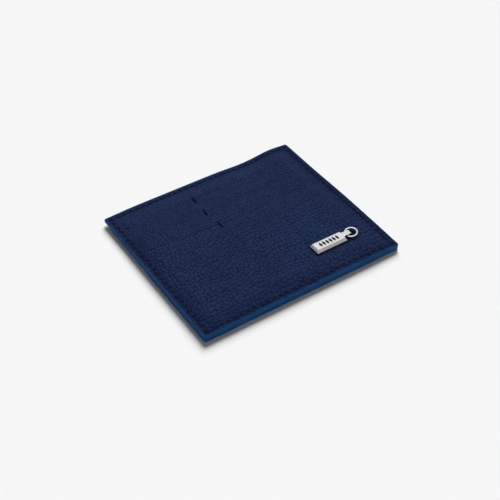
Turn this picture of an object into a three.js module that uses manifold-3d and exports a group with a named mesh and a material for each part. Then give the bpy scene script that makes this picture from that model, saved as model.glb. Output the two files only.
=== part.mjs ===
// A flat leather card holder, lying on its card slots with its plain front panel up.
//
// Frame: millimetres, +Z up. X runs along the width, +Y points at the open top edge of the
// centre pocket, and the origin is the middle of the footprint on the table.
//
// From the table up: the outer back panel, three card pockets that step back 10.4 mm each, the
// leather base that carries them, a lining on each side of the centre pocket, and the grained
// front panel, skived thin round its edge, with a board behind it. The sides and the bottom are
// sewn through; the top edge is open. A metal tag with a hook is riveted to the front, and a
// loose ring hangs in the hook.
import * as THREE from "three";
import { mergeVertices } from "three/addons/utils/BufferGeometryUtils.js";
import Module from "manifold-3d";

const wasm = await Module();
wasm.setup();

// ---- Driving dimensions ----
const WIDTH = 100.8; // over the painted edges
const HEIGHT = 87.2; // over the painted edges, from the bottom seam to the open top
const CORNER = 1.1; // outer corner radius
const PAINT = 0.25; // coat of edge paint
const FIT = 0.03; // air between two bonded pieces
const BOND = 0.02; // air between two glued layers
const SLIT = 0.06; // an empty pocket, pressed flat

const SEAM_INSET = 2.5; // from the painted edge to the seam
const THREAD = 0.4; // diameter of the seam thread
const FINE_THREAD = 0.3; // thread on the pocket side
const FLOOR_THREAD = 0.2; // thread that closes the bottom of a card pocket
const GROOVE = 0.1; // room for a thread on each side of it

const POCKETS = 3; // card pockets above the back panel, which makes the last slot
const FIRST_MOUTH = 33.8; // Y of the highest slot's mouth
const PITCH = 10.4; // from one mouth to the next
const CARD_DEPTH = 44.4; // from a mouth to its floor: a 54 mm card stands out by a finger's width

// Layers from the table up: thickness, and the air under the layer.
const LAYERS = [
  { name: "back_panel", thick: 0.55, under: 0 },
  { name: "card_pocket_3", thick: 0.36, under: SLIT },
  { name: "card_pocket_2", thick: 0.36, under: SLIT },
  { name: "card_pocket_1", thick: 0.36, under: SLIT },
  { name: "pocket_base", thick: 0.36, under: SLIT },
  { name: "base_lining", thick: 0.18, under: BOND },
  { name: "front_lining", thick: 0.18, under: SLIT },
  { name: "front_panel", thick: 1.11, under: BOND },
];
const level = {};
LAYERS.reduce((height, layer) => {
  const bottom = height + layer.under;
  level[layer.name] = { bottom, top: bottom + layer.thick };
  return bottom + layer.thick;
}, 0);
const FACE = level.front_panel.top; // the front panel's outer face
const SKIVE = { reach: 6, drop: 0.5 }; // the panel is pared down towards its painted edge
const RIM = FACE - SKIVE.drop; // height of the stack at its edge

const BOARD = { thick: 0.26, inset: 6 }; // stiffener in a recess behind the front panel

// Tag: a bar with sloping sides, and a strip that runs out of its end and hooks down.
const TAG = {
  x: [16, 32.2],
  y: -26.8,
  width: 5.9,
  rim: 0.35, // height of its upright foot
  height: 1.75,
  slope: 0.75, // how far its sides lean in
  stripWidth: 2.5,
  stripThick: 0.45,
  hookReach: 35.8, // outer end of the hook
  hookThick: 0.9,
  hookGap: 0.15, // from the hook's point down to the leather
};
const POST = { radius: 0.6, inset: 3.6 };
const WASHER = { radius: 2, thick: 0.2 };
// The ring hangs at x and rise, and leans on the swell of the padded panel by tilt degrees.
const RING = { radius: 2.74, wire: 0.42, x: 33.65, rise: 0.5, tilt: 6 };

const TACK = { length: 4.6, thread: 0.4, bar: 0.3, x: [-9.9, -10.2, -8.9] };

// ---- Colours and finishes ----
const finish = (color, roughness, metalness = 0) =>
  new THREE.MeshStandardMaterial({ color, roughness, metalness });
const GRAINED = finish("#1f2a47", 0.55);
const SMOOTH = finish("#223052", 0.5);
const LINING = finish("#1b2440", 0.85);
const BOARD_GREY = finish("#8d8a82", 0.95);
const EDGE_BLUE = finish("#1b3d66", 0.4);
const NAVY_THREAD = finish("#141d36", 0.6);
const TACK_THREAD = finish("#0a0f1f", 0.6);
const STEEL = finish("#d9d9dc", 0.18, 1);

// ---- Solids ----
function solid(geometry) {
  const bare = geometry.index ? geometry.toNonIndexed() : geometry.clone();
  bare.deleteAttribute("normal");
  bare.deleteAttribute("uv");
  const merged = mergeVertices(bare, 1e-4);
  return new wasm.Manifold(
    new wasm.Mesh({
      numProp: 3,
      vertProperties: merged.attributes.position.array,
      triVerts: new Uint32Array(merged.index.array),
    }),
  );
}

function geometryOf(made) {
  const mesh = made.getMesh();
  const geometry = new THREE.BufferGeometry();
  const points = new THREE.BufferAttribute(new Float32Array(mesh.vertProperties), 3);
  geometry.setAttribute("position", points);
  geometry.setIndex(new THREE.BufferAttribute(new Uint32Array(mesh.triVerts), 1));
  return geometry;
}

function box(x, y, z) {
  const geometry = new THREE.BoxGeometry(x[1] - x[0], y[1] - y[0], z[1] - z[0]);
  geometry.translate((x[0] + x[1]) / 2, (y[0] + y[1]) / 2, (z[0] + z[1]) / 2);
  return solid(geometry);
}

function cylinder(x, y, z, radius, sides = 16) {
  const geometry = new THREE.CylinderGeometry(radius, radius, z[1] - z[0], sides);
  geometry.rotateX(Math.PI / 2);
  geometry.translate(x, y, (z[0] + z[1]) / 2);
  return solid(geometry);
}

// A rounded rectangle that lies inset from the painted outline.
function outline(inset, kind = THREE.Shape) {
  const x = WIDTH / 2 - inset;
  const y = HEIGHT / 2 - inset;
  const r = Math.max(CORNER - inset, 0.4);
  const path = new kind();
  path.moveTo(-x + r, -y);
  path.lineTo(x - r, -y);
  path.absarc(x - r, -y + r, r, -Math.PI / 2, 0, false);
  path.lineTo(x, y - r);
  path.absarc(x - r, y - r, r, 0, Math.PI / 2, false);
  path.lineTo(-x + r, y);
  path.absarc(-x + r, y - r, r, Math.PI / 2, Math.PI, false);
  path.lineTo(-x, -y + r);
  path.absarc(-x + r, -y + r, r, Math.PI, 1.5 * Math.PI, false);
  return path;
}

function extruded(shape, z) {
  const options = { depth: z[1] - z[0], bevelEnabled: false, curveSegments: 6 };
  const geometry = new THREE.ExtrudeGeometry(shape, options);
  geometry.translate(0, 0, z[0]);
  return solid(geometry);
}

// A block whose sides slope in from the painted outline, to pare the front panel with.
function skiveBlock() {
  const runs = 3; // the slope is carried on below the rim
  const geometry = new THREE.BoxGeometry(WIDTH, HEIGHT, runs * SKIVE.drop);
  const corners = geometry.attributes.position;
  for (let i = 0; i < corners.count; i++) {
    const inset = corners.getZ(i) > 0 ? SKIVE.reach : SKIVE.reach * (1 - runs);
    corners.setX(i, corners.getX(i) - Math.sign(corners.getX(i)) * inset);
    corners.setY(i, corners.getY(i) - Math.sign(corners.getY(i)) * inset);
  }
  geometry.translate(0, 0, FACE - (runs * SKIVE.drop) / 2);
  return solid(geometry);
}

// A closed frame between two insets from the painted outline.
function frame(outer, inner, z) {
  const shape = outline(outer);
  shape.holes.push(outline(inner, THREE.Path));
  return extruded(shape, z);
}

// A thread laid through points, as straight rods with a ball at each bend.
function thread(points, diameter, sides = 8) {
  const radius = diameter / 2;
  const up = new THREE.Vector3(0, 1, 0);
  return points.slice(1).reduce((laid, end, i) => {
    const start = points[i];
    const along = end.clone().sub(start);
    const rod = new THREE.CylinderGeometry(radius, radius, along.length(), sides);
    rod.applyQuaternion(new THREE.Quaternion().setFromUnitVectors(up, along.normalize()));
    rod.translate(...start.clone().add(end).divideScalar(2));
    const piece = solid(rod);
    if (!laid) return piece;
    const ball = new THREE.SphereGeometry(radius, sides, 6);
    ball.translate(...start);
    return laid.add(solid(ball)).add(piece);
  }, null);
}

const point = (x, y, z) => new THREE.Vector3(x, y, z);
const seamX = WIDTH / 2 - SEAM_INSET;
const seamY = HEIGHT / 2 - SEAM_INSET;
const mouthY = (slot) => FIRST_MOUTH - PITCH * slot; // slot 0 is the highest

const group = new THREE.Group();
function piece(name, made, material) {
  const mesh = new THREE.Mesh(geometryOf(made), material);
  mesh.name = name;
  group.add(mesh);
}

// ---- Layers, before holes and grooves ----
function layer(name, mouth = HEIGHT) {
  const { bottom, top } = level[name];
  const sheet = extruded(outline(PAINT + FIT), [bottom, top]);
  const cut = box([-WIDTH, WIDTH], [mouth - PAINT - FIT, HEIGHT], [bottom - 1, top + 1]);
  return mouth < HEIGHT / 2 ? sheet.subtract(cut) : sheet;
}

// ---- The seams ----
// Front: one groove round all four sides, with one thread through the whole stack on three
// sides and another that only hems the lip of the centre pocket.
const seamFace = RIM + (SKIVE.drop * SEAM_INSET) / SKIVE.reach; // the skived face at the seam
const faceThreadZ = seamFace - THREAD / 2 + 0.1;
const half = THREAD / 2 + GROOVE;
const frontGroove = frame(SEAM_INSET - half, SEAM_INSET + half, [seamFace - 0.4, FACE + 1]);
const seamEnd = seamY - 0.4; // the two threads keep clear of each other at the top corners
const seamThreadFront = thread(
  [
    point(-seamX, seamEnd, faceThreadZ),
    point(-seamX, -seamY, faceThreadZ),
    point(seamX, -seamY, faceThreadZ),
    point(seamX, seamEnd, faceThreadZ),
  ],
  THREAD,
);
const hemX = seamX - 0.6;
const hemThreadFront = thread(
  [point(-hemX, seamY, faceThreadZ), point(hemX, seamY, faceThreadZ)],
  THREAD,
);

// Back: the thread climbs one step at each mouth. It is sunk into the back panel, which lies
// on the table, and half sunk into the pockets above it.
const STEP_CLEAR = 0.5; // from a mouth's edge to the thread's climb
const underside = ["back_panel", "card_pocket_3", "card_pocket_2", "card_pocket_1", "pocket_base"];
const backThreadZ = (name) =>
  name === "back_panel" ? FINE_THREAD / 2 + 0.03 : level[name].bottom;
function steppedSide(x) {
  return underside.flatMap((name, i) => {
    const z = backThreadZ(name);
    const low = i === 0 ? -seamY : mouthY(POCKETS - i + 1) + STEP_CLEAR;
    const high = i === underside.length - 1 ? seamEnd : mouthY(POCKETS - i) + STEP_CLEAR;
    return [point(x, low, z), point(x, high, z)];
  });
}
const backPath = [...steppedSide(-seamX).reverse(), ...steppedSide(seamX)];
const seamThreadBack = thread(backPath, FINE_THREAD, 6);
const baseZ = level.pocket_base.bottom;
const hemThreadBack = thread(
  [point(-hemX, seamY, baseZ), point(hemX, seamY, baseZ)],
  FINE_THREAD,
  6,
);
const fineHalf = FINE_THREAD / 2 + GROOVE / 2;
const backGroove = (name) => {
  const z = backThreadZ(name);
  return frame(SEAM_INSET - fineHalf, SEAM_INSET + fineHalf, [z - 1, z + fineHalf]);
};

// A seam across each card pocket, on which its card stands. It bridges the slit above the pocket.
const floorHalf = FLOOR_THREAD / 2 + BOND;
const floorX = seamX - 1;
function floorSeam(slot) {
  const y = mouthY(slot) - CARD_DEPTH;
  const z = level[`card_pocket_${slot + 1}`].top + SLIT / 2;
  return {
    made: thread([point(-floorX, y, z), point(floorX, y, z)], FLOOR_THREAD, 6),
    groove: box(
      [-floorX - BOND, floorX + BOND],
      [y - floorHalf, y + floorHalf],
      [z - floorHalf, z + floorHalf],
    ),
  };
}
const floors = [0, 1, 2].map(floorSeam);
const floorGrooves = floors.map((floor) => floor.groove).reduce((a, b) => a.add(b));

// ---- Tacks: closed loops of thread through the front panel, its board and its lining ----
const tackBottom = level.front_lining.bottom + BOND;
const tackTop = FACE - BOND;
function tackLoop(slot, grow) {
  const x = TACK.x[slot];
  const y = [mouthY(slot) - TACK.length, mouthY(slot)];
  const thick = TACK.thread / 2 + grow;
  const outer = box(
    [x - thick, x + thick],
    [y[0] - grow, y[1] + grow],
    [tackBottom - (grow ? 1 : 0), tackTop + (grow ? 1 : 0)],
  );
  const window = box(
    [x - 1, x + 1],
    [y[0] + TACK.thread + grow, y[1] - TACK.thread - grow],
    [tackBottom + TACK.bar / 2 + grow, tackTop - TACK.bar - grow],
  );
  return outer.subtract(window);
}
const tacks = [0, 1, 2].map((slot) => tackLoop(slot, 0));
const tackHoles = [0, 1, 2].map((slot) => tackLoop(slot, 0.04)).reduce((a, b) => a.add(b));

// ---- The tag, its washers and its ring ----
const postX = [TAG.x[0] + POST.inset, TAG.x[1] - POST.inset];
const boardTop = level.front_panel.bottom + BOND + BOARD.thick;
const washerZ = [boardTop - WASHER.thick, boardTop];

function tagPlate() {
  const seat = FACE + BOND;
  const middle = (TAG.x[0] + TAG.x[1]) / 2;
  const y = [TAG.y - TAG.width / 2, TAG.y + TAG.width / 2];
  const foot = box(TAG.x, y, [seat, FACE + TAG.rim]);
  // Above its foot the bar leans in on all four sides.
  const leaning = TAG.height - TAG.rim;
  const bar = new THREE.BoxGeometry(TAG.x[1] - TAG.x[0], TAG.width, leaning);
  const corners = bar.attributes.position;
  for (let i = 0; i < corners.count; i++) {
    if (corners.getZ(i) < 0) continue;
    corners.setX(i, corners.getX(i) - Math.sign(corners.getX(i)) * TAG.slope);
    corners.setY(i, corners.getY(i) - Math.sign(corners.getY(i)) * TAG.slope);
  }
  bar.translate(middle, TAG.y, FACE + TAG.rim + leaning / 2);
  // The strip and its hook, drawn from the side.
  const top = FACE + TAG.height;
  const under = top - TAG.stripThick;
  const root = TAG.x[1] - TAG.slope - 0.3;
  const bend = 0.6; // outer radius of the hook's bend
  const side = new THREE.Shape();
  side.moveTo(root, under);
  side.lineTo(TAG.hookReach - TAG.hookThick, under);
  side.lineTo(TAG.hookReach - TAG.hookThick, FACE + TAG.hookGap);
  side.lineTo(TAG.hookReach, FACE + TAG.hookGap);
  side.absarc(TAG.hookReach - bend, top - bend, bend, 0, Math.PI / 2, false);
  side.lineTo(root, top);
  const strip = new THREE.ExtrudeGeometry(side, {
    depth: TAG.stripWidth,
    bevelEnabled: false,
    curveSegments: 6,
  });
  strip.rotateX(Math.PI / 2);
  strip.translate(0, TAG.y + TAG.stripWidth / 2, 0);
  const posts = postX.map((x) =>
    cylinder(x, TAG.y, [washerZ[0] + BOND, seat + 0.1], POST.radius, 12),
  );
  return [solid(bar), solid(strip), ...posts].reduce((a, b) => a.add(b), foot);
}

function washer(x) {
  const disc = cylinder(x, TAG.y, washerZ, WASHER.radius, 20);
  const hole = cylinder(x, TAG.y, [0, FACE], POST.radius + 2 * FIT, 12);
  return disc.subtract(hole);
}

function ring() {
  const torus = new THREE.TorusGeometry(RING.radius, RING.wire, 10, 36);
  torus.translate(RING.radius, 0, 0);
  torus.rotateY(THREE.MathUtils.degToRad(-RING.tilt));
  torus.translate(RING.x, TAG.y, FACE + RING.rise);
  return solid(torus);
}

// ---- Edge paint ----
// One coat round the whole stack. It steps up with the pockets on the sides, and a slit in it
// at the top leaves the centre pocket open.
function perimeterPaint() {
  let coat = frame(0, PAINT, [BOND, RIM - BOND]);
  underside.slice(1).forEach((name, i) => {
    const from = mouthY(POCKETS - i);
    coat = coat.subtract(box([-WIDTH, WIDTH], [from, HEIGHT], [-1, level[name].bottom]));
  });
  const slit = [level.base_lining.top, level.front_lining.bottom];
  return coat.subtract(box([-seamX, seamX], [seamY, HEIGHT], slit));
}

// A coat along the mouth of each card slot.
function mouthPaint(slot) {
  const name = slot === POCKETS ? "back_panel" : `card_pocket_${slot + 1}`;
  const x = WIDTH / 2 - PAINT - FIT;
  const y = mouthY(slot);
  const { bottom, top } = level[name];
  const coat = box([-x, x], [y - PAINT, y], [bottom + 0.01, top - 0.01]);
  return coat.subtract(backGroove(name));
}

// ---- Assembly ----
const postHoles = postX
  .map((x) => cylinder(x, TAG.y, [0, FACE + 1], POST.radius + 2 * FIT, 12))
  .reduce((a, b) => a.add(b));

const recess = frontRecess(BOARD.inset - FIT, boardTop + FIT);
function frontRecess(inset, top) {
  return extruded(outline(inset), [level.front_panel.bottom - 1, top]);
}
const frontPanel = layer("front_panel")
  .intersect(skiveBlock())
  .subtract(recess)
  .subtract(frontGroove)
  .subtract(postHoles)
  .subtract(tackHoles);
const washerSeats = postX
  .map((x) => cylinder(x, TAG.y, [0, FACE], WASHER.radius + 0.3, 20))
  .reduce((a, b) => a.add(b));
const board = extruded(outline(BOARD.inset), [level.front_panel.bottom + BOND, boardTop])
  .subtract(washerSeats)
  .subtract(tackHoles);

piece("front_panel", frontPanel, GRAINED);
piece("front_stiffener", board, BOARD_GREY);
piece("front_lining", layer("front_lining").subtract(tackHoles), LINING);
piece("base_lining", layer("base_lining"), LINING);
const pocketBase = layer("pocket_base").subtract(backGroove("pocket_base"));
piece("pocket_base", pocketBase.subtract(floorGrooves), SMOOTH);
for (let slot = 0; slot < POCKETS; slot++) {
  const name = `card_pocket_${slot + 1}`;
  const pocket = layer(name, mouthY(slot)).subtract(backGroove(name)).subtract(floorGrooves);
  piece(name, pocket, SMOOTH);
  piece(`floor_thread_${slot + 1}`, floors[slot].made, NAVY_THREAD);
}
piece(
  "back_panel",
  layer("back_panel", mouthY(POCKETS)).subtract(backGroove("back_panel")),
  GRAINED,
);

piece("edge_paint", perimeterPaint(), EDGE_BLUE);
for (let slot = 0; slot <= POCKETS; slot++) {
  piece(`mouth_paint_${slot + 1}`, mouthPaint(slot), EDGE_BLUE);
}

piece("seam_thread_front", seamThreadFront, NAVY_THREAD);
piece("seam_thread_back", seamThreadBack, NAVY_THREAD);
piece("hem_thread_front", hemThreadFront, NAVY_THREAD);
piece("hem_thread_back", hemThreadBack, NAVY_THREAD);
tacks.forEach((loop, i) => piece(`tack_stitch_${i + 1}`, loop, TACK_THREAD));

piece("tag_plate", tagPlate(), STEEL);
postX.forEach((x, i) => piece(`tag_washer_${i + 1}`, washer(x), STEEL));
piece("tag_ring", ring(), STEEL);

export default group;
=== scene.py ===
import math

import bmesh
import bpy
import numpy as np
from mathutils import Matrix, Vector


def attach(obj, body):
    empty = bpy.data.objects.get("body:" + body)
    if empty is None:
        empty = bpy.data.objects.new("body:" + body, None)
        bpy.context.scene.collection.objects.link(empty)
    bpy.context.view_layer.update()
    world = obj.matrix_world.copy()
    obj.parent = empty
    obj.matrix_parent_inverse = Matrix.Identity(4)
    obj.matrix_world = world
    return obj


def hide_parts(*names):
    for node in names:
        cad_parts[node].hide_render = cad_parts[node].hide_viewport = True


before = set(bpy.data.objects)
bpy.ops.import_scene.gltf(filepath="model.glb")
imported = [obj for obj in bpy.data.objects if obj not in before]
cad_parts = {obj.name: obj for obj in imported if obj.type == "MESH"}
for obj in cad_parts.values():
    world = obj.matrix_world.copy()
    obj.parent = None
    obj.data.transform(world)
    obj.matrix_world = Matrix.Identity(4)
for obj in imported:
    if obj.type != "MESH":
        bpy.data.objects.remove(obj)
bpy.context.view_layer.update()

# ---------------------------------------------------------------------------------------------
# FRONT PANEL. One piece of navy calf leather with a natural pebble grain, pared thin at its
# edges. It is sewn down all round, so it swells a little between the seams, and it is pulled
# down where the tag is riveted. Sizes here and below are in millimetres.

MM = 0.001
HALF_X, HALF_Y = 50.12, 43.32  # the leather's cut edge, under the paint
CORNER = 0.8
FACE = 3.8  # the panel's nominal outer face
PANEL_BACK = 2.69
BOARD_RECESS = (5.8, 0.3)  # how far in from the edge, and how deep
SEAM_X, SEAM_Y = 47.9, 41.1
MARGIN = 1.6  # flat strip outside the seam
STITCHES_X, STITCHES_Y = 29, 25  # per side
HOLE, HOLE_STRETCH = 0.53, 2.1  # a needle hole, and how many times longer than wide it is
PEBBLE, SMALL_PEBBLE = 1.95, 1.45
GRAIN_DEPTH = 0.36
TACKS = [(-9.9, 33.8, 4.6), (-10.2, 23.4, 4.4), (-8.9, 13.0, 5.0)]  # x, upper end, length
TAG_X, TAG_Y, TAG_WIDTH = (16.0, 32.2), -26.8, 5.9
TAG_MIDDLE, TAG_HALF = sum(TAG_X) / 2, (TAG_X[1] - TAG_X[0]) / 2
HOOK_X, RING_X = 34.0, 36.0  # middle of the hook and of the ring
NAVY = (0.0131, 0.0237, 0.0688, 1)


def smooth(low, high, value):
    """0 below low, 1 above high, and an S-curve between."""
    t = np.clip((value - low) / (high - low), 0, 1)
    return t * t * (3 - 2 * t)


def bump(value, width):
    """1 at 0, falling away to nothing in about two widths."""
    return np.exp(-((value / width) ** 2))


def drift(x, y, span, seed):
    """Smooth noise between about -1 and 1 that changes over span millimetres."""
    random = np.random.RandomState(seed)
    total = 0 * x
    for _ in range(7):
        way, phase = random.uniform(0, 2 * np.pi, 2)
        pace = random.uniform(0.7, 1.7) * 2 * np.pi / span
        total = total + np.sin(pace * (x * np.cos(way) + y * np.sin(way)) + phase)
    return total / 3


def lift(x, y):
    """The finished stack isn't quite flat: its open top waves and its right side bows up."""
    top = 0.15 - 0.6 * bump(x - 23, 9) + 0.8 * bump(x - 40.5, 7.2)
    droop = 0.6 * bump(x + 51, 10) * smooth(2.6, 40, y)
    return top * smooth(12, 43, y) + 0.5 * bump(y + 5, 20) * smooth(28, 50, x) - droop


def rise(x, y):
    """How far the layers under the panel come up: all are pared thin at the open top."""
    return lift(x, y) + 0.25 * smooth(32, 43, y)


def pebbles(u, v, seed):
    """How far a point lies inside its pebble: 0 on the crease between two pebbles."""
    spots = 0.13 + 0.74 * np.random.RandomState(seed).rand(128, 128, 2)
    i, j = np.floor(u).astype(int), np.floor(v).astype(int)
    nearest, second = np.full(u.shape, 9.0), np.full(u.shape, 9.0)
    for di in (-1, 0, 1):
        for dj in (-1, 0, 1):
            spot = spots[(i + di) % 128, (j + dj) % 128]
            away = np.hypot(i + di + spot[..., 0] - u, j + dj + spot[..., 1] - v)
            second = np.minimum(second, np.maximum(nearest, away))
            nearest = np.minimum(nearest, away)
    return second - nearest


def grain(x, y, seed=4):
    """Depth of the grain, from 0 on top of a pebble to about 1 in a deep crease."""
    x = x + 0.3 * drift(x, y, 4, seed) + 0.9 * drift(x, y, 23, seed + 1)
    y = y + 0.3 * drift(x, y, 4, seed + 2) + 0.9 * drift(x, y, 23, seed + 3)
    size = PEBBLE + (SMALL_PEBBLE - PEBBLE) * smooth(-25, 30, y + 0.4 * x)
    coarse = pebbles(x / (size * 0.86), y / (size * 1.14), seed + 4)
    fine = pebbles(x / (size * 0.5), y / (size * 0.5), seed + 5)
    strength = 0.9 + 0.16 * drift(x, y, 9, seed + 6)
    crease = 1 - smooth(0.02, 0.25, coarse)
    crown = 1 - smooth(0, 1.0, coarse)
    return strength * (0.64 * crease + 0.3 * crown + 0.1 * (1 - smooth(0, 0.4, fine)))


def fold(x, y, start, end, width):
    """1 along a crease from start to end, fading at its tips and to its sides."""
    (ax, ay), (bx, by) = start, end
    length = math.hypot(bx - ax, by - ay)
    along = ((x - ax) * (bx - ax) + (y - ay) * (by - ay)) / length
    aside = ((x - ax) * (by - ay) - (y - ay) * (bx - ax)) / length
    aside = aside + 0.5 * drift(x, y, 9, 31)
    ends = smooth(0, 3, along) * smooth(0, 3, length - along)
    return ends * bump(aside, width)


def needle_holes(x, y):
    """1 in each needle hole of the seam, 0 a little way off."""
    step_x, step_y = 2 * SEAM_X / STITCHES_X, 2 * SEAM_Y / STITCHES_Y
    along_x = (x + SEAM_X) / step_x
    along_y = (y + SEAM_Y) / step_y
    off_x = (along_x - np.round(along_x)) * step_x
    off_y = (along_y - np.round(along_y)) * step_y
    rows = np.hypot(off_x / HOLE_STRETCH, np.abs(y) - SEAM_Y)
    columns = np.hypot(off_y / HOLE_STRETCH, np.abs(x) - SEAM_X)
    return bump(np.minimum(rows, columns), HOLE)


def seam_groove(x, y):
    """1 along the seam, which pulls the leather in, 0 off it."""
    return bump(np.maximum(np.abs(x) - SEAM_X, np.abs(y) - SEAM_Y), 0.55)


def tack_dents(x, y):
    """1 under each tack, which is pulled down into the leather, 0 off it."""
    dents = 0 * x
    for tack_x, upper, length in TACKS:
        along = smooth(-0.3, 0.2, upper - y) * smooth(-0.3, 0.2, y - upper + length)
        dents = np.maximum(dents, along * bump(x - tack_x, 0.42))
    return dents


def off_metal(x, y, middle, half_x, half_y):
    """Distance from a rectangle on the tag's centre line, 0 inside it."""
    past_x = np.maximum(np.abs(x - middle) - half_x, 0)
    past_y = np.maximum(np.abs(y - TAG_Y) - half_y, 0)
    return np.hypot(past_x, past_y)


def hardware_seat(x, y):
    """1 where the tag and its ring press the panel down, 0 away from them."""
    tag = off_metal(x, y, TAG_MIDDLE, TAG_HALF, TAG_WIDTH / 2 - 0.05)
    ring = off_metal(x, y, HOOK_X, 3.0, 3.0)
    return 1 - smooth(0.3, 4.5, np.minimum(tag, ring))


def foot_shade(x, y):
    """Painted shadow: 1 along the foot of the tag and under its hook, less under the ring, 0 away
    from them.
    """
    tag = off_metal(x, y, TAG_MIDDLE, TAG_HALF, TAG_WIDTH / 2)
    hook = off_metal(x, y, HOOK_X, 1.9, 1.2)
    # Painted shadow where the tag's foot and its hook meet the leather, and painted shade under the
    # ring.
    foot_shadow = 1 - smooth(0.35, 1.0, np.minimum(tag, hook))
    ring_shadow = 1 - smooth(2.4, 3.4, np.hypot(x - RING_X, y - TAG_Y))
    return np.maximum(foot_shadow, 0.65 * ring_shadow)


def swell(x, y):
    """The panel's broad shape over its nominal face, without grain or stitches."""
    left = 1 - smooth(MARGIN, 8, x + HALF_X)
    right = 1 - smooth(MARGIN, 11, HALF_X - x)
    lower = 1 - smooth(MARGIN, 9, y + HALF_Y)
    upper = 1 - smooth(MARGIN, 11, HALF_Y - y)
    fall = 1 - (1 - left) * (1 - right) * (1 - lower) * (1 - upper)
    plateau = 0.3 + 0.08 * drift(x, y, 38, 12)
    seat = hardware_seat(x, y)
    worn_corner = 0.35 * bump(x - 50, 9) * bump(y + 44, 9)
    broad = plateau * (1 - fall) - 0.5 * fall - worn_corner
    return lift(x, y) + broad * (1 - seat) - 0.02 * seat


def panel_creases(x, y):
    """Soft steps over the mouths of the pockets below, and creases worn by use."""
    steps = 0.9 * fold(x, y, (-46, 12.4), (-6, 10.2), 0.9)
    steps = steps + 0.6 * fold(x, y, (-7, 9.0), (38, 10.5), 1.1)
    steps = steps + 0.5 * fold(x, y, (-14, 20.4), (36, 20.8), 1.0)
    steps = steps + 0.4 * fold(x, y, (-30, 31.5), (30, 30.8), 1.1)
    worn = fold(x, y, (-44.5, 4), (-43.0, -30), 0.8) + 0.7 * fold(x, y, (-41, -8), (-39, -36), 0.7)
    worn = worn + 0.7 * fold(x, y, (-9.4, 8.4), (-13.5, 6.6), 0.5)
    return 0.24 * (steps + worn)


def panel_depth(x, y):
    """How far grain, creases and stitches lie below the panel's broad shape."""
    sewn = 0.06 * seam_groove(x, y) + 0.6 * needle_holes(x, y) + 0.22 * tack_dents(x, y)
    calm = 1 - 0.35 * smooth(10, 40, y) - 0.3 * bump(x + 35, 8) * bump(y - 8, 9)
    return GRAIN_DEPTH * calm * grain(x, y) + panel_creases(x, y) + sewn


def rim_shade(x, y):
    """Painted shade, 1 close to the seam and falling to 0 on the open panel."""
    left = bump(x + SEAM_X, 4) * (1 - smooth(15, 32, y))
    right, lower = 1.2 * bump(x - SEAM_X, 4.2), 0.4 * bump(y + SEAM_Y, 3.2)
    return np.maximum(np.maximum(left, right), lower)


def panel_shade(x, y):
    """How much painted shade lies in the grain's creases, the needle holes, the tack dents, along the
    rim and at the tag's foot.
    """
    grained = np.minimum(0.8, 0.94 * smooth(0.26, 0.8, grain(x, y)) + 0.2 * rim_shade(x, y))
    holes = np.maximum(smooth(0.1, 0.45, needle_holes(x, y)), 0.7 * tack_dents(x, y))
    return np.clip(np.maximum(grained, np.maximum(holes, foot_shade(x, y))), 0, 1)


def rolled_edge(x, y, half_y=(HALF_Y, HALF_Y), radius=0.45):
    """How far a cut edge is rounded over: radius at the very edge, 0 inside it."""
    inset = np.minimum(HALF_X - np.abs(x), np.minimum(y + half_y[0], half_y[1] - y))
    t = np.clip(1 - inset / radius, 0, 1)
    return radius * (1 - np.sqrt(1 - t * t * 0.999))


def grid_lines(low, high, fine, coarse, margin=4.4):
    """Positions of mesh lines: close together near both ends and wider apart between."""
    roll = np.array([0, 0.06, 0.16, 0.3])  # over the rounded edge
    near = np.linspace(0.45, margin, max(2, round((margin - 0.45) / fine)))
    start = np.concatenate([roll, near])
    middle = np.linspace(low + margin, high - margin, round((high - low - 2 * margin) / coarse))
    return np.concatenate([low + start, middle[1:-1], high - start[::-1]])


def set_out(name, bm, *materials):
    """Turns finished faces into an object in the scene."""
    mesh = bpy.data.meshes.new(name)
    bm.to_mesh(mesh)
    bm.free()
    for material in materials:
        mesh.materials.append(material)
    obj = bpy.data.objects.new(name, mesh)
    bpy.context.collection.objects.link(obj)
    return obj


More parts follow.
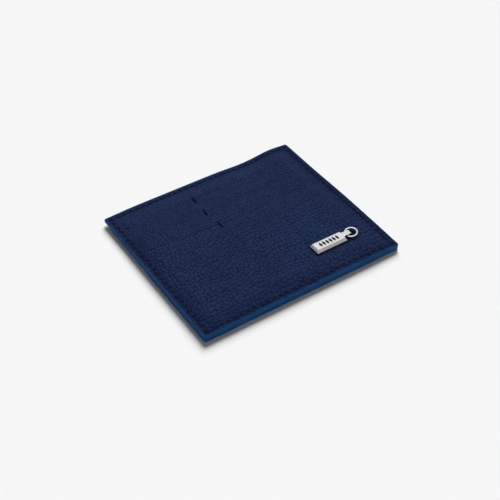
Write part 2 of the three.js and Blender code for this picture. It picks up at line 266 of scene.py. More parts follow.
def sheet(name, x_lines, y_lines, face, back, material, dark=None, recess=None, rounded=(True, True)):
    """A sheet of leather or cloth. face and back give the height of its two sides.

    The face is a grid. The back is drawn in from the edge in rings, so it follows the face.
    recess is sunk in the back for the board, and rounded says which ends have round corners."""
    bm = bmesh.new()
    nx, ny = len(x_lines) - 1, len(y_lines) - 1
    bmesh.ops.create_grid(bm, x_segments=nx, y_segments=ny, size=1)
    walls, rings = (4 if recess else 2), 7
    for _ in range(walls + rings):
        rim = [edge for edge in bm.edges if edge.is_boundary]
        made = bmesh.ops.extrude_edge_only(bm, edges=rim)["geom"]
        lower = [item for item in made if isinstance(item, bmesh.types.BMVert)]
        bmesh.ops.translate(bm, verts=lower, vec=(0, 0, -1))
    rim = [edge for edge in bm.edges if edge.is_boundary]
    bmesh.ops.holes_fill(bm, edges=rim, sides=0)
    at = np.array([vert.co for vert in bm.verts])
    x = x_lines[np.rint((at[:, 0] + 1) / 2 * nx).astype(int)]
    y = y_lines[np.rint((at[:, 1] + 1) / 2 * ny).astype(int)]
    # 0 on the face, then one more for each ring of edges down the cut edge and over the back.
    wall = np.rint(-at[:, 2]).astype(int)
    # Round the corners by drawing each corner square in to a quarter disc.
    for side in [side for side, wanted in zip((-1, 1), rounded) if wanted]:
        end = y_lines[-1] if side > 0 else -y_lines[0]
        past_x = np.maximum(np.abs(x) - (HALF_X - CORNER), 0)
        past_y = np.maximum(side * y - (end - CORNER), 0)
        reach = np.maximum(np.hypot(past_x, past_y), 1e-9)
        pull = np.where((past_x > 0) & (past_y > 0), np.maximum(past_x, past_y) / reach, 1)
        x = np.where(pull < 1, np.sign(x) * (HALF_X - CORNER + past_x * pull), x)
        y = np.where(pull < 1, side * (end - CORNER + past_y * pull), y)
    outer, inner = face(x, y), back(x, y)
    z = np.where(wall == 0, outer, np.where(wall == 1, 0.8 * outer + 0.2 * inner, inner))
    middle_y = (y_lines[0] + y_lines[-1]) / 2
    drawn_in = np.clip(1 - (wall - walls) / (rings + 1), 0, 1)
    inset, depth = recess or (0, 0)
    x = x * drawn_in * np.where(wall >= 3, 1 - inset / HALF_X, 1)
    y = middle_y + (y - middle_y) * drawn_in * np.where(wall >= 3, 1 - inset / HALF_Y, 1)
    z = np.where(wall >= 3, back(x, y) + np.where(wall >= 4, depth, 0), z)
    for vert, place in zip(bm.verts, np.stack([x, y, z], 1) * MM):
        vert.co = place
    bmesh.ops.recalc_face_normals(bm, faces=bm.faces)
    for poly in bm.faces:
        poly.smooth = len(poly.verts) == 4
    for edge in bm.edges:
        edge.smooth = all(poly.smooth for poly in edge.link_faces)
    obj = set_out(name, bm, material)
    # The crease attribute carries painted shade, given by dark, on the face only.
    shade = np.zeros(len(x)) if dark is None else np.where(wall == 0, dark(x, y), 0)
    layer = obj.data.attributes.new("crease", "FLOAT", "POINT")
    layer.data.foreach_set("value", shade.astype(np.float32))
    return obj


def blank_material(name):
    """A new material, with its nodes, its links and its shader."""
    material = bpy.data.materials.new(name)
    material.use_nodes = True
    nodes = material.node_tree.nodes
    return material, nodes, material.node_tree.links, nodes["Principled BSDF"]


def noise(nodes, links, scale, detail=3.0, roughness=0.5, stretch=None):
    """Noise on the piece's own coordinates. scale is in features per metre."""
    place = nodes.new("ShaderNodeTexCoord").outputs["Object"]
    if stretch:
        mapping = nodes.new("ShaderNodeMapping")
        mapping.inputs["Scale"].default_value = stretch
        links.new(place, mapping.inputs["Vector"])
        place = mapping.outputs["Vector"]
    texture = nodes.new("ShaderNodeTexNoise")
    texture.inputs["Scale"].default_value = scale
    texture.inputs["Detail"].default_value = detail
    texture.inputs["Roughness"].default_value = roughness
    links.new(place, texture.inputs["Vector"])
    return texture.outputs["Fac"]


def between(nodes, links, amount, low, high):
    """Mixes two colours, each a colour or a socket."""
    node = nodes.new("ShaderNodeMix")
    node.data_type = "RGBA"
    links.new(amount, node.inputs[0])
    for index, colour in ((6, low), (7, high)):
        if isinstance(colour, tuple):
            node.inputs[index].default_value = colour
        else:
            links.new(colour, node.inputs[index])
    return node.outputs[2]


def remap(nodes, links, value, low, high, start=0.3, stop=0.7):
    """Spreads what lies between start and stop over low to high."""
    node = nodes.new("ShaderNodeMapRange")
    node.inputs["From Min"].default_value = start
    node.inputs["From Max"].default_value = stop
    node.inputs["To Min"].default_value = low
    node.inputs["To Max"].default_value = high
    links.new(value, node.inputs["Value"])
    return node.outputs["Result"]


def relief(nodes, links, shader, height, strength, distance):
    """Fine relief that is too small for the mesh. distance is its depth in millimetres."""
    node = nodes.new("ShaderNodeBump")
    node.inputs["Strength"].default_value = strength
    node.inputs["Distance"].default_value = distance * MM
    links.new(height, node.inputs["Height"])
    links.new(node.outputs["Normal"], shader.inputs["Normal"])


def leather_material(name, colour, gloss):
    """Dyed leather: painted shade darkens its creases and needle holes, and the tops of the pebbles
    are polished.
    """
    material, nodes, links, shader = blank_material(name)
    crease = nodes.new("ShaderNodeAttribute")
    crease.attribute_name = "crease"
    worn = tuple(1.15 * c for c in colour[:3]) + (1,)
    faded = tuple(0.88 * c for c in colour[:3]) + (1,)
    patches = remap(nodes, links, noise(nodes, links, 55, 4), 0, 1)
    dye = between(nodes, links, patches, faded, worn)
    mottle = remap(nodes, links, noise(nodes, links, 900, 2), 0, 0.35)
    dye = between(nodes, links, mottle, dye, worn)
    # Painted shade from the crease attribute: the dye darkens towards deep in creases, and to near
    # black in needle holes and at the tag's foot.
    deep = (0.3 * colour[0], 0.38 * colour[1], 0.5 * colour[2], 1)
    shade_amount = remap(nodes, links, crease.outputs["Fac"], 0, 1, 0, 0.75)
    dye = between(nodes, links, shade_amount, dye, deep)
    deepest_shade = remap(nodes, links, crease.outputs["Fac"], 0, 1, 0.81, 0.95)
    dye = between(nodes, links, deepest_shade, dye, (0.0006, 0.0022, 0.0120, 1))
    links.new(dye, shader.inputs["Base Color"])
    fine = noise(nodes, links, 2600, 3, 0.65)
    polish = remap(nodes, links, fine, gloss - 0.07, gloss + 0.09)
    links.new(polish, shader.inputs["Roughness"])
    relief(nodes, links, shader, fine, 0.35, 0.05)
    shader.inputs["Specular IOR Level"].default_value = 0.05
    return material


pebbled = leather_material("pebbled_calf", NAVY, 0.5)
front_x_lines = grid_lines(-HALF_X, HALF_X, 0.2, 0.36)
front_y_lines = grid_lines(-HALF_Y, HALF_Y, 0.2, 0.36)
front_panel = sheet(
    "front_panel_leather",
    front_x_lines,
    front_y_lines,
    lambda x, y: np.maximum(
        FACE + swell(x, y) - panel_depth(x, y) - 0.6 * rolled_edge(x, y),
        PANEL_BACK + rise(x, y) + 0.08,
    ),
    lambda x, y: PANEL_BACK + rise(x, y),
    pebbled,
    dark=panel_shade,
    recess=BOARD_RECESS,
)
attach(front_panel, "holder")
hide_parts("front_panel")

# ---------------------------------------------------------------------------------------------
# STIFFENER AND LININGS. A thin fibre board is glued in the skived back of the front panel, and
# a woven lining covers each side of the centre pocket. Only the linings' edges come near the
# open top, and the board is thin enough to lie under the tag's washers.

BOARD_HALF = (44.0, 37.25)
BOARD_LOW, BOARD_THICK = 2.70, 0.06
LININGS = [("front_lining", 2.49), ("base_lining", 2.25)]  # and how high each one's back is
LINING_THICK = 0.18


def cloth_material(name, colour, threads_per_mm):
    """A weave of fine yarns, drawn as two crossing waves."""
    material, nodes, links, shader = blank_material(name)
    place = nodes.new("ShaderNodeTexCoord").outputs["Object"]
    waves = []
    for direction in ("X", "Y"):
        wave = nodes.new("ShaderNodeTexWave")
        wave.wave_type = "BANDS"
        wave.bands_direction = direction
        wave.inputs["Scale"].default_value = threads_per_mm * 1000 / 20
        wave.inputs["Distortion"].default_value = 0.4
        links.new(place, wave.inputs["Vector"])
        waves.append(wave.outputs["Fac"])
    weave = nodes.new("ShaderNodeMath")
    weave.operation = "MULTIPLY"
    links.new(waves[0], weave.inputs[0])
    links.new(waves[1], weave.inputs[1])
    dark = tuple(0.6 * c for c in colour[:3]) + (1,)
    yarn = between(nodes, links, weave.outputs[0], dark, colour)
    light = tuple(1.3 * c for c in colour[:3]) + (1,)
    patches = remap(nodes, links, noise(nodes, links, 80), 0, 0.4)
    links.new(between(nodes, links, patches, yarn, light), shader.inputs["Base Color"])
    relief(nodes, links, shader, weave.outputs[0], 0.4, 0.04)
    shader.inputs["Roughness"].default_value = 0.85
    shader.inputs["Sheen Weight"].default_value = 0.2
    return material


lining_cloth = cloth_material("lining_twill", (0.0105, 0.0165, 0.047, 1), 4)
board_fibre = cloth_material("pressed_fibre", (0.27, 0.25, 0.22, 1), 1.5)
coarse_x = grid_lines(-HALF_X, HALF_X, 1.3, 3.0)
coarse_y = grid_lines(-HALF_Y, HALF_Y, 1.3, 3.0)
for node, low in LININGS:
    lining = sheet(
        f"{node}_cloth",
        coarse_x,
        coarse_y,
        lambda x, y: low + LINING_THICK + rise(x, y),
        lambda x, y: low + rise(x, y),
        lining_cloth,
    )
    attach(lining, "holder")
    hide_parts(node)

board_x = np.linspace(-BOARD_HALF[0], BOARD_HALF[0], 30)
board_y = np.linspace(-BOARD_HALF[1], BOARD_HALF[1], 26)
board = sheet(
    "stiffener_board",
    board_x,
    board_y,
    lambda x, y: BOARD_LOW + BOARD_THICK + rise(x, y),
    lambda x, y: BOARD_LOW + rise(x, y),
    board_fibre,
    rounded=(False, False),
)
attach(board, "holder")
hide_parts("front_stiffener")

# ---------------------------------------------------------------------------------------------
# CARD SIDE. A smooth leather base carries three pockets whose mouths step down by 10.4 mm, and
# the pebbled back panel makes the last slot. All are sewn in at the sides and the bottom, and
# each mouth is cut straight.

FIRST_MOUTH, PITCH = 33.8, 10.4
LEVELS = {  # bottom of each layer, and its thickness
    "pocket_base": (1.87, 0.36),
    "card_pocket_1": (1.45, 0.36),
    "card_pocket_2": (1.03, 0.36),
    "card_pocket_3": (0.61, 0.36),
    "back_panel": (0.0, 0.55),
}
MOUTH_Y = {
    "card_pocket_1": FIRST_MOUTH,
    "card_pocket_2": FIRST_MOUTH - PITCH,
    "card_pocket_3": FIRST_MOUTH - 2 * PITCH,
    "back_panel": FIRST_MOUTH - 3 * PITCH,
}
smooth_calf = leather_material("smooth_calf", (0.0165, 0.0270, 0.0660, 1), 0.42)


def mouth_bead(y, mouth):
    """A creased line 1.6 mm below a mouth, pressed in with a hot iron."""
    return 0.07 * bump(y - mouth + 1.6, 0.22)


def card_side(node, grain_depth, material, seed):
    """One layer of the card side. Its mesh is fine only where the layer shows."""
    low, thick = LEVELS[node]
    mouth = MOUTH_Y.get(node, HALF_Y)
    outermost = node == "back_panel"
    if outermost:
        y_lines = grid_lines(-HALF_Y, mouth, 0.25, 0.42)
    else:
        shown = mouth - (PITCH if node in MOUTH_Y else 9.6)
        hidden = np.linspace(-HALF_Y, shown - 3.2, 14)
        upper = grid_lines(shown - 3.0, mouth, 0.3, 0.42, 1.6)
        y_lines = np.concatenate([hidden, upper[upper > shown - 2.6]])
    x_lines = grid_lines(-HALF_X, HALF_X, 0.3, 0.45)

    def depth(x, y):
        sewn = 0.10 * seam_groove(x, y) + 0.2 * needle_holes(x, y)
        line = mouth_bead(y, mouth) if node in MOUTH_Y else 0
        return grain_depth * grain(x, y, seed) + sewn + line

    def face(x, y):
        edge = rolled_edge(x, y, (HALF_Y, mouth), 0.16)
        return low + rise(x, y) + depth(x, y) + edge

    # Painted shade in the grain's creases, the needle holes and along the seam.
    def dark(x, y):
        sewn = np.maximum(needle_holes(x, y), 0.3 * seam_groove(x, y))
        strong = 0.6 if grain_depth > 0.05 else 0.25
        return np.clip(strong * smooth(0.35, 1, grain(x, y, seed)) + sewn, 0, 1)

    made = sheet(
        f"{node}_leather",
        x_lines,
        y_lines,
        face,
        lambda x, y: low + thick + rise(x, y),
        material,
        dark=dark,
        rounded=(True, node not in MOUTH_Y),
    )
    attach(made, "holder")
    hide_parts(node)


for node, seed in zip(LEVELS, (21, 41, 61, 81)):
    card_side(node, 0.03, smooth_calf, seed)
card_side("back_panel", 0.12, pebbled, 101)

# ---------------------------------------------------------------------------------------------
# EDGE PAINT. Several coats of flexible blue paint are rolled on to the sanded edge of the
# stack and set to a soft bead. The coat steps up with the pockets, and it stops at the slit of
# the centre pocket. Each pocket's mouth has a thin coat of its own.

PAINT = 0.26
PAINT_BLUE = (0.0085, 0.0620, 0.1880, 1)
SLIT_Z = 2.46  # the slit of the centre pocket


def tube_grid(name, places, cap, material):
    """A grid of points, rows by columns, closed on itself across its columns.

    cap closes the two ends; without it the last row meets the first."""
    rows, columns = places.shape[:2]
    bm = bmesh.new()
    x_segments = rows - 1 if cap else rows
    bmesh.ops.create_grid(bm, x_segments=x_segments, y_segments=columns, size=1)
    at = np.array([vert.co for vert in bm.verts])
    row = np.rint((at[:, 0] + 1) / 2 * x_segments).astype(int) % rows
    column = np.rint((at[:, 1] + 1) / 2 * columns).astype(int) % columns
    for vert, place in zip(bm.verts, places[row, column] * MM):
        vert.co = place
    bmesh.ops.remove_doubles(bm, verts=bm.verts, dist=1e-7)
    if cap:
        rim = [edge for edge in bm.edges if edge.is_boundary]
        bmesh.ops.holes_fill(bm, edges=rim, sides=0)
    bmesh.ops.recalc_face_normals(bm, faces=bm.faces)
    for poly in bm.faces:
        poly.smooth = True
    return set_out(name, bm, material)


def paint_material(name, colour):
    """Flexible edge paint: satin, with slow waves left by the roller and a few dull specks."""
    material, nodes, links, shader = blank_material(name)
    lighter = tuple(1.18 * c for c in colour[:3]) + (1,)
    darker = tuple(0.82 * c for c in colour[:3]) + (1,)
    coats = remap(nodes, links, noise(nodes, links, 140, 3), 0, 1)
    links.new(between(nodes, links, coats, darker, lighter), shader.inputs["Base Color"])
    dull = noise(nodes, links, 1500, 2)
    links.new(remap(nodes, links, dull, 0.34, 0.48), shader.inputs["Roughness"])
    relief(nodes, links, shader, noise(nodes, links, 700, 2), 0.25, 0.06)
    shader.inputs["Specular IOR Level"].default_value = 0.08
    return material


def perimeter():
    """Points round the leather's cut edge with their outward directions, one way round."""
    corner_x, corner_y = HALF_X - CORNER, HALF_Y - CORNER
    mouths = [y + step for y in MOUTH_Y.values() for step in (-0.08, 0.08)]
    across = np.linspace(-corner_x, corner_x, 150)
    up = np.sort(np.concatenate([np.linspace(-corner_y, corner_y, 130), mouths]))
    turn = np.linspace(0, np.pi / 2, 9)[1:-1]
    sides = [  # a side's points, which way is out, and the centre of the corner at its end
        (across, -HALF_Y, (0, -1), (corner_x, -corner_y)),
        (HALF_X, up, (1, 0), (corner_x, corner_y)),
        (across[::-1], HALF_Y, (0, 1), (-corner_x, corner_y)),
        (-HALF_X, up[::-1], (-1, 0), (-corner_x, -corner_y)),
    ]
    parts = []
    for number, (x, y, out, centre) in enumerate(sides):
        x, y = np.broadcast_arrays(x, y)
        parts.append(np.stack([x, y, np.full(x.shape, out[0]), np.full(x.shape, out[1])], 1))
        angle = (number - 1) * np.pi / 2 + turn
        way = np.stack([np.cos(angle), np.sin(angle)], 1)
        parts.append(np.concatenate([way * CORNER + centre, way], 1))
    return np.concatenate(parts)


def underside(x, y, fillet=0.1):
    """Height of the stack's stepped underside. fillet is the length of each step's slope."""
    last = 0.03  # the back panel's face, a little over the table
    height = last + 0 * x
    names = ["card_pocket_3", "card_pocket_2", "card_pocket_1", "pocket_base"]
    for name, mouth in zip(names, sorted(MOUTH_Y.values())):
        height = height + (LEVELS[name][0] - last) * np.clip((y - mouth + 0.05) / fillet, 0, 1)
        last = LEVELS[name][0]
    return height + rise(x, y)


edge_blue = paint_material("edge_paint_blue", PAINT_BLUE)
edge_x, edge_y, out_x, out_y = perimeter().T
top = FACE + swell(edge_x, edge_y) + 0.05
bottom = underside(edge_x, edge_y, 3.0)
wander = 0.03 * drift(edge_x, edge_y, 5, 77)
open_top = smooth(-0.05, 0.05, edge_y - HALF_Y + 0.1) * smooth(0, 1, SEAM_X - np.abs(edge_x))
slit = SLIT_Z + rise(edge_x, edge_y)
bead = [  # how far out of the leather's edge, and how high, from the top round to the bottom
    (-0.26 + wander, top - 0.16),
    (-0.17 + wander, top - 0.03),
    (-0.03, top),
    (0.12, top - 0.08),
    (0.21, top - 0.24),
    (PAINT + wander / 2, 0.35 * top + 0.65 * (slit + 0.2)),
    (PAINT - 0.04 * open_top, slit + 0.1),
    (PAINT - 0.75 * open_top, slit),
    (PAINT - 0.04 * open_top, slit - 0.1),
    (PAINT + wander / 2, 0.5 * bottom + 0.5 * (slit - 0.15)),
    (0.24, bottom + 0.1),
    (0.17, bottom + 0.02),
    (-0.1, bottom),
    (-0.3 + wander, bottom + 0.1),
]
rings = [np.stack([edge_x + o * out_x, edge_y + o * out_y, z], 1) for o, z in bead]
edge_paint = tube_grid("edge_paint_coat", np.stack(rings, 1), False, edge_blue)
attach(edge_paint, "holder")
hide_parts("edge_paint")

mouth_x = np.linspace(-HALF_X + 0.3, HALF_X - 0.3, 200)
for number, (node, mouth) in enumerate(MOUTH_Y.items(), 1):
    low, thick = LEVELS[node]
    base = low + rise(mouth_x, mouth + 0 * mouth_x)
    wander = 0.02 * drift(mouth_x, 0 * mouth_x, 6, number)
    coat = [  # how far past the mouth, and how high over the layer's outer side
        (-0.30 + wander, 0.0),
        (-0.08, -0.02),
        (0.05, 0.06),
        (0.09 + wander, 0.5 * thick),
        (0.05, thick - 0.06),
        (-0.08, thick + 0.01),
        (-0.25 + wander, thick - 0.02),
    ]
    rows = []
    for past, over in coat:
        y = mouth + past + 0 * mouth_x
        rows.append(np.stack([mouth_x, y, base + max(over, -low)], 1))
    painted = tube_grid(f"mouth_coat_{number}", np.stack(rows, 1), True, edge_blue)
    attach(painted, "holder")
    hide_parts(f"mouth_paint_{number}")

# ---------------------------------------------------------------------------------------------
# SEAMS. Navy waxed polyester thread, two plies twisted, lockstitched about 3.3 mm to the
# stitch. Each stitch arches over the leather and dives into a needle hole at both ends. The
# hem of the open top is sewn separately on each lip, so cards can pass between.

THREAD, FINE_THREAD, FLOOR_THREAD = 0.42, 0.3, 0.2
THREAD_NAVY = (0.0140, 0.0262, 0.0760, 1)
CARD_DEPTH = 44.4  # from a pocket's mouth to the seam that closes it


def thread_material(name, colour):
    """Waxed polyester: fibres catch the light along the ply and the wax dulls it in patches."""
    material, nodes, links, shader = blank_material(name)
    light = tuple(1.6 * c for c in colour[:3]) + (1,)
    fibres = noise(nodes, links, 4200, 2, 0.6, (1, 1, 0.4))
    links.new(
        between(nodes, links, remap(nodes, links, fibres, 0, 1), colour, light),
        shader.inputs["Base Color"],
    )
    wax = noise(nodes, links, 600, 2)
    links.new(remap(nodes, links, wax, 0.45, 0.7), shader.inputs["Roughness"])
    relief(nodes, links, shader, fibres, 0.4, 0.03)
    shader.inputs["Specular IOR Level"].default_value = 0.05
    return material


def twisted(name, path, aside, diameter, pitch, material, columns=8):
    """A two-ply thread along a path of points. aside is the level direction across it."""
    ahead = np.gradient(path, axis=0)
    ahead /= np.maximum(np.linalg.norm(ahead, axis=1, keepdims=True), 1e-9)
    above = np.cross(aside, ahead)
    above /= np.maximum(np.linalg.norm(above, axis=1, keepdims=True), 1e-9)
    run = np.concatenate([[0], np.cumsum(np.linalg.norm(np.diff(path, axis=0), axis=1))])
    turn = 2 * np.pi * np.arange(columns) / columns
    lobes = 1 + 0.22 * np.cos(2 * (turn[None] - np.pi * run[:, None] / pitch))
    radius = diameter / 2 * lobes / 1.1
    across = (radius * np.cos(turn))[..., None] * aside[:, None]
    places = path[:, None] + across + (radius * np.sin(turn))[..., None] * above[:, None]
    return tube_grid(name, places, True, material)


def stitch_run(corners, counts, height, sign):
    """The path of a thread that stitches from corner to corner. sign is up or down."""
    t = np.linspace(0, 1, 11)[:-1]
    # The thread's height along one stitch, which starts and ends in a needle hole.
    arch = 0.13 * np.array([-3.4, -2.9, -1.2, 0.3, 0.9, 1, 0.9, 0.3, -1.2, -2.9]) - 0.1
    points, sides = [], []
    for (ax, ay), (bx, by), count in zip(corners, corners[1:], counts):
        along = ((np.arange(count)[:, None] + t) / count).ravel()
        x, y = ax + along * (bx - ax), ay + along * (by - ay)
        z = height(x, y) + sign * np.tile(arch, count)
        points.append(np.stack([x, y, z], 1))
        length = math.hypot(bx - ax, by - ay)
        level = np.array([[-(by - ay) / length, (bx - ax) / length, 0]])
        sides.append(np.repeat(level, len(x), 0))
    return np.concatenate(points), np.concatenate(sides)


navy_thread = thread_material("navy_thread", THREAD_NAVY)


def sew(name, node, corners, counts, height, sign, diameter):
    """One side of a seam. counts is the number of stitches from each corner to the next."""
    path, aside = stitch_run(corners, counts, height, sign)
    seam = twisted(name, path, aside, diameter, 1.3, navy_thread)
    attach(seam, "holder")
    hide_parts(node)


def front_height(x, y):
    """Where the thread lies on the front panel."""
    return FACE + swell(x, y) - 0.02


def back_height(x, y):
    """Where the thread lies under the stepped card side, sunk clear of the table."""
    return underside(x, y) + 0.2


three_sides = [(-SEAM_X, SEAM_Y), (-SEAM_X, -SEAM_Y), (SEAM_X, -SEAM_Y), (SEAM_X, SEAM_Y)]
side_counts = [STITCHES_Y, STITCHES_X, STITCHES_Y]
top_hem = [(-SEAM_X, SEAM_Y), (SEAM_X, SEAM_Y)]
sew("seam_front", "seam_thread_front", three_sides, side_counts, front_height, 1, THREAD)
sew("seam_back", "seam_thread_back", three_sides, side_counts, back_height, -1, FINE_THREAD)
sew("hem_front", "hem_thread_front", top_hem, [STITCHES_X], front_height, 1, THREAD)
sew("hem_back", "hem_thread_back", top_hem, [STITCHES_X], back_height, -1, FINE_THREAD)

# The seam that closes the bottom of each pocket, between that pocket and the layer above.
for number, (node, mouth) in enumerate(list(MOUTH_Y.items())[:3], 1):
    low, thick = LEVELS[node]
    x = np.linspace(-46.6, 46.6, 240)
    y = mouth - CARD_DEPTH + 0 * x
    path = np.stack([x, y, low + thick + 0.03 + rise(x, y)], 1)
    aside = np.repeat([[0, 1.0, 0]], len(x), 0)
    name = f"pocket_floor_{number}"
    floor_seam = twisted(name, path, aside, FLOOR_THREAD, 0.9, navy_thread, 6)
    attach(floor_seam, "holder")
    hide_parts(f"floor_thread_{number}")

# ---------------------------------------------------------------------------------------------
# TACKS. Three hand-sewn tacks in near-black thread, one at each pocket's height. The thread
# comes up at the upper end, lies over the leather, and is knotted fatter at the lower end.

tack_thread = thread_material("tack_thread", (0.0012, 0.0018, 0.0050, 1))
for number, (tack_x, upper, length) in enumerate(TACKS, 1):
    t = np.linspace(0, 1, 34)
    y = upper - 0.15 - t * (length - 0.3)
    x = tack_x + 0.25 * (t - 0.5) + 0.05 * np.sin(9 * t + number)
    sunk = 1 - smooth(0, 0.1, t) * smooth(0, 0.06, 1 - t)
    z = FACE + swell(x, y) - 0.06 + 0.05 * smooth(0.4, 0.9, t) - 0.55 * sunk
    path = np.stack([x, y, z], 1)
    aside = np.repeat([[1.0, 0, 0]], len(t), 0)
    thick = (0.34 + 0.3 * smooth(0.25, 0.85, t))[:, None]
    tack = twisted(f"tack_{number}", path, aside, thick, 1.1, tack_thread)
    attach(tack, "holder")
    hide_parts(f"tack_stitch_{number}")

# ---------------------------------------------------------------------------------------------
# TAG. A small cast zinc bar with sloping sides, polished and rhodium plated. Its top has a fine
# cut line round a row of engraved lozenges filled with dark enamel, and a strip runs out of its
# end and bends down into a hook. Two posts under it are closed over washers.

TAG_RIM, TAG_TOP = 0.35, 1.75
SLOPE = 0.75
LINE = 0.12  # width of the cut line
LOZENGES, LOZENGE_X, LOZENGE_Y = 6, 0.74, 1.75  # how many, and half of each one's size
STRIP_WIDTH, STRIP_THICK = 2.5, 0.45
HOOK_END, HOOK_THICK, HOOK_BEND = 35.8, 0.9, 0.5
POST_RADIUS, POST_LENGTH, POST_INSET = 0.6, 0.95, 3.6


def metal_material(name, colour, gloss):
    """Polished plate: fine handling scratches and faint dull patches."""
    material, nodes, links, shader = blank_material(name)
    shader.inputs["Metallic"].default_value = 1.0
    dull = tuple(0.86 * c for c in colour[:3]) + (1,)
    patches = remap(nodes, links, noise(nodes, links, 320, 3), 0, 1)
    links.new(between(nodes, links, patches, colour, dull), shader.inputs["Base Color"])
    scratches = noise(nodes, links, 900, 4, 0.7, (1, 9, 9))
    polish = remap(nodes, links, scratches, gloss - 0.05, gloss + 0.09)
    links.new(polish, shader.inputs["Roughness"])
    relief(nodes, links, shader, scratches, 0.06, 0.02)
    return material


def enamel_material(name, colour):
    """Fired enamel, a little cloudy and not quite flat."""
    material, nodes, links, shader = blank_material(name)
    light = tuple(2.2 * c for c in colour[:3]) + (1,)
    cloudy = remap(nodes, links, noise(nodes, links, 1800, 3), 0, 1)
    links.new(between(nodes, links, cloudy, colour, light), shader.inputs["Base Color"])
    links.new(remap(nodes, links, cloudy, 0.45, 0.6, 0, 1), shader.inputs["Roughness"])
    shader.inputs["Specular IOR Level"].default_value = 0.12
    return material


plated = metal_material("rhodium_plate", (0.78, 0.78, 0.79, 1), 0.13)
enamel = enamel_material("dark_enamel", (0.004, 0.005, 0.007, 1))

bm = bmesh.new()
half_x, half_y = TAG_HALF, TAG_WIDTH / 2
plain_x, plain_y = half_x - SLOPE - 2 * LINE, half_y - SLOPE - 2 * LINE
bmesh.ops.create_grid(bm, x_segments=LOZENGES + 2, y_segments=1, size=1)
for vert in bm.verts:
    vert.co = (vert.co.x * plain_x, vert.co.y * plain_y, TAG_TOP)
cells = sorted(bm.faces, key=lambda cell: cell.calc_center_median().x)[1:-1]
for cell in cells:
    centre = cell.calc_center_median()
    bmesh.ops.inset_individual(bm, faces=[cell], thickness=0.1, use_even_offset=True)
    for vert in cell.verts:
        right, up = vert.co.x > centre.x, vert.co.y > centre.y
        # Turn the rectangle's four corners into the four points of a lozenge.
        if right != up:
            vert.co.x, vert.co.y = centre.x + (LOZENGE_X if right else -LOZENGE_X), centre.y
        else:
            vert.co.x, vert.co.y = centre.x, centre.y + (LOZENGE_Y if up else -LOZENGE_Y)
    bmesh.ops.inset_individual(bm, faces=[cell], thickness=0.05, depth=-0.14)
    cell.material_index = 1
steps = [  # half length, half width and height, from the cut line down to the foot
    (plain_x + 0.03, plain_y + 0.03, TAG_TOP - 0.06),
    (plain_x + LINE, plain_y + LINE, TAG_TOP - 0.06),
    (plain_x + LINE + 0.03, plain_y + LINE + 0.03, TAG_TOP),
    (half_x - SLOPE, half_y - SLOPE, TAG_TOP - 0.03),
    (half_x - 0.05, half_y - 0.05, TAG_RIM + 0.05),
    (half_x, half_y, TAG_RIM - 0.05),
    (half_x, half_y, -0.25),
]
span_x, span_y = plain_x, plain_y
for out_x, out_y, z in steps:
    rim = [edge for edge in bm.edges if edge.is_boundary]
    made = bmesh.ops.extrude_edge_only(bm, edges=rim)["geom"]
    for vert in (item for item in made if isinstance(item, bmesh.types.BMVert)):
        vert.co = (vert.co.x * out_x / span_x, vert.co.y * out_y / span_y, z)
    span_x, span_y = out_x, out_y
rim = [edge for edge in bm.edges if edge.is_boundary]
bmesh.ops.holes_fill(bm, edges=rim, sides=0)
bmesh.ops.translate(bm, verts=bm.verts, vec=(TAG_MIDDLE, TAG_Y, FACE))

# The strip starts inside the bar's end and bends down over the ring.
root = TAG_X[1] - SLOPE - 0.5
strip_top = TAG_TOP - 0.03
under = TAG_TOP - STRIP_THICK
hook_in = HOOK_END - HOOK_THICK
outline = [(root, strip_top)]
for k in range(7):
    a = math.pi / 2 * (1 - k / 6)
    x = HOOK_END - HOOK_BEND * (1 - math.cos(a))
    outline.append((x, strip_top - HOOK_BEND * (1 - math.sin(a))))
outline += [(HOOK_END - 0.1, 0.15), (hook_in, 0.15), (hook_in, under - 0.15)]
outline += [(hook_in - 0.15, under), (root, under)]
profile = [bm.verts.new((x, TAG_Y - STRIP_WIDTH / 2, FACE + z)) for x, z in outline]
side = bm.faces.new(profile)
made = bmesh.ops.extrude_face_region(bm, geom=[side])["geom"]
far = [item for item in made if isinstance(item, bmesh.types.BMVert)]
bmesh.ops.translate(bm, verts=far, vec=(0, STRIP_WIDTH, 0))
# A shoulder joins the strip to the bar.
shoulder = bmesh.ops.create_cube(bm, size=1)["verts"]
for vert in shoulder:
    x = TAG_X[1] - SLOPE + (0.75 if vert.co.x > 0 else -0.4)
    wide = STRIP_WIDTH / 2 if vert.co.x > 0 else 1.75
    z = FACE + (TAG_TOP - 0.06 if vert.co.z > 0 else under - 0.25)
    vert.co = (x, TAG_Y + math.copysign(wide, vert.co.y), z)
for x in (TAG_X[0] + POST_INSET, TAG_X[1] - POST_INSET):
    post = bmesh.ops.create_cone(
        bm,
        cap_ends=True,
        segments=20,
        radius1=POST_RADIUS,
        radius2=POST_RADIUS,
        depth=POST_LENGTH,
    )["verts"]
    bmesh.ops.translate(bm, verts=post, vec=(x, TAG_Y, FACE - 0.45))
bmesh.ops.recalc_face_normals(bm, faces=bm.faces)
bmesh.ops.scale(bm, vec=(MM, MM, MM), verts=bm.verts)
tag = set_out("tag_bar", bm, plated, enamel)
soften = tag.modifiers.new("soften", "BEVEL")
soften.width = 0.06 * MM
soften.segments = 2
soften.limit_method = "ANGLE"
soften.angle_limit = math.radians(35)
soften.harden_normals = True
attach(tag, "holder")
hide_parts("tag_plate")

# The washers are plain steel, hidden behind the panel.
washer_steel = metal_material("washer_steel", (0.5, 0.5, 0.5, 1), 0.35)
for number in (1, 2):
    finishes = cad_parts[f"tag_washer_{number}"].data.materials
    finishes.clear()
    finishes.append(washer_steel)

# ---------------------------------------------------------------------------------------------
# RING. Round wire bent to a ring, its ends soldered and polished over, plated like the tag. It
# turns loosely in the hook, and its far side leans on the panel.

RING_RADIUS, WIRE = 2.74, 0.42
RING_HINGE = (33.65, TAG_Y, FACE + 0.5)
RING_TILT = 6  # degrees

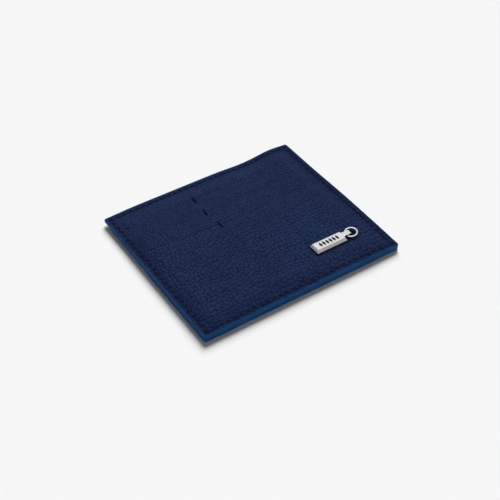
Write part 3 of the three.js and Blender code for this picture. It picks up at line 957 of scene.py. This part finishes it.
bm = bmesh.new()
made = bmesh.ops.create_circle(bm, segments=20, radius=WIRE)["verts"]
for vert in made:
    vert.co = (RING_RADIUS + vert.co.x, 0, vert.co.y)
bmesh.ops.spin(
    bm,
    geom=list(bm.verts) + list(bm.edges),
    cent=(0, 0, 0),
    axis=(0, 0, 1),
    angle=2 * math.pi,
    steps=96,
    use_merge=True,
)
bmesh.ops.remove_doubles(bm, verts=bm.verts, dist=1e-4)
bmesh.ops.recalc_face_normals(bm, faces=bm.faces)
bmesh.ops.translate(bm, verts=bm.verts, vec=(RING_RADIUS, 0, 0))
tilt = Matrix.Rotation(math.radians(-RING_TILT), 3, "Y")
bmesh.ops.rotate(bm, verts=bm.verts, cent=(0, 0, 0), matrix=tilt)
bmesh.ops.translate(bm, verts=bm.verts, vec=RING_HINGE)
bmesh.ops.scale(bm, vec=(MM, MM, MM), verts=bm.verts)
for poly in bm.faces:
    poly.smooth = True
ring = set_out("loose_ring", bm, plated)
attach(ring, "ring")
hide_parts("tag_ring")

# ---------------------------------------------------------------------------------------------
# FLOOR, LIGHT AND CAMERA. A plain pale floor under an even studio light, with one soft light
# from behind the holder's upper right and a faint one, low in front, that casts no shadow.

FLOOR_GREY = 0.93
FLOOR_HALF = 8  # metres
paper, nodes, links, shader = blank_material("floor_paper")
shader.inputs["Base Color"].default_value = (FLOOR_GREY, FLOOR_GREY, FLOOR_GREY, 1)
shader.inputs["Roughness"].default_value = 1.0
shader.inputs["Specular IOR Level"].default_value = 0.0
bm = bmesh.new()
bmesh.ops.create_grid(bm, x_segments=1, y_segments=1, size=FLOOR_HALF)
floor = set_out("floor", bm, paper)
floor.location.z = -0.02 * MM

# Even light from all round. Glossy surfaces see it as a brighter dome that darkens towards the
# horizon, as tall softboxes do.
WORLD_LIGHT = 0.085
world = bpy.data.worlds.new("studio")
world.use_nodes = True
nodes, links = world.node_tree.nodes, world.node_tree.links
direction = nodes.new("ShaderNodeTexCoord").outputs["Generated"]
height = nodes.new("ShaderNodeSeparateXYZ")
links.new(direction, height.inputs["Vector"])
dome = remap(nodes, links, height.outputs["Z"], 0.34, 1.2, 0.0, 0.9)
glossy = nodes.new("ShaderNodeLightPath").outputs["Is Glossy Ray"]
strength = nodes.new("ShaderNodeMix")
strength.inputs[2].default_value = WORLD_LIGHT
links.new(glossy, strength.inputs[0])
links.new(dome, strength.inputs[3])
links.new(strength.outputs[0], nodes["Background"].inputs["Strength"])
nodes["Background"].inputs["Color"].default_value = (1, 1, 1, 1)
bpy.context.scene.world = world


def soft_light(name, source, irradiance, width, shadow=True):
    """A distant soft light. irradiance is what the floor gets of it, as a share of white."""
    source = Vector(source).normalized()
    light = bpy.data.lights.new(name, "SUN")
    light.energy = irradiance * math.pi / source.z
    light.angle = math.radians(width)
    light.use_shadow = shadow
    lamp = bpy.data.objects.new(name, light)
    lamp.rotation_euler = source.to_track_quat("Z", "Y").to_euler()
    lamp.visible_glossy = False
    bpy.context.collection.objects.link(lamp)


soft_light("key", (0.62, 0.78, 0.72), 0.875, 34)
soft_light("fill", (-0.30, -0.93, 0.20), 0.04, 30, shadow=False)

lens = bpy.data.cameras.new("camera")
lens.sensor_width = 36
lens.lens = 73.2
lens.clip_start, lens.clip_end = 0.01, 10
camera = bpy.data.objects.new("camera", lens)
camera.location = (-0.18737, -0.28262, 0.30577)
target = Vector((-0.00472, -0.00760, 0))
camera.rotation_euler = (target - camera.location).to_track_quat("-Z", "Y").to_euler()
bpy.context.collection.objects.link(camera)
bpy.context.scene.camera = camera
bpy.context.scene.view_settings.view_transform = "Standard"
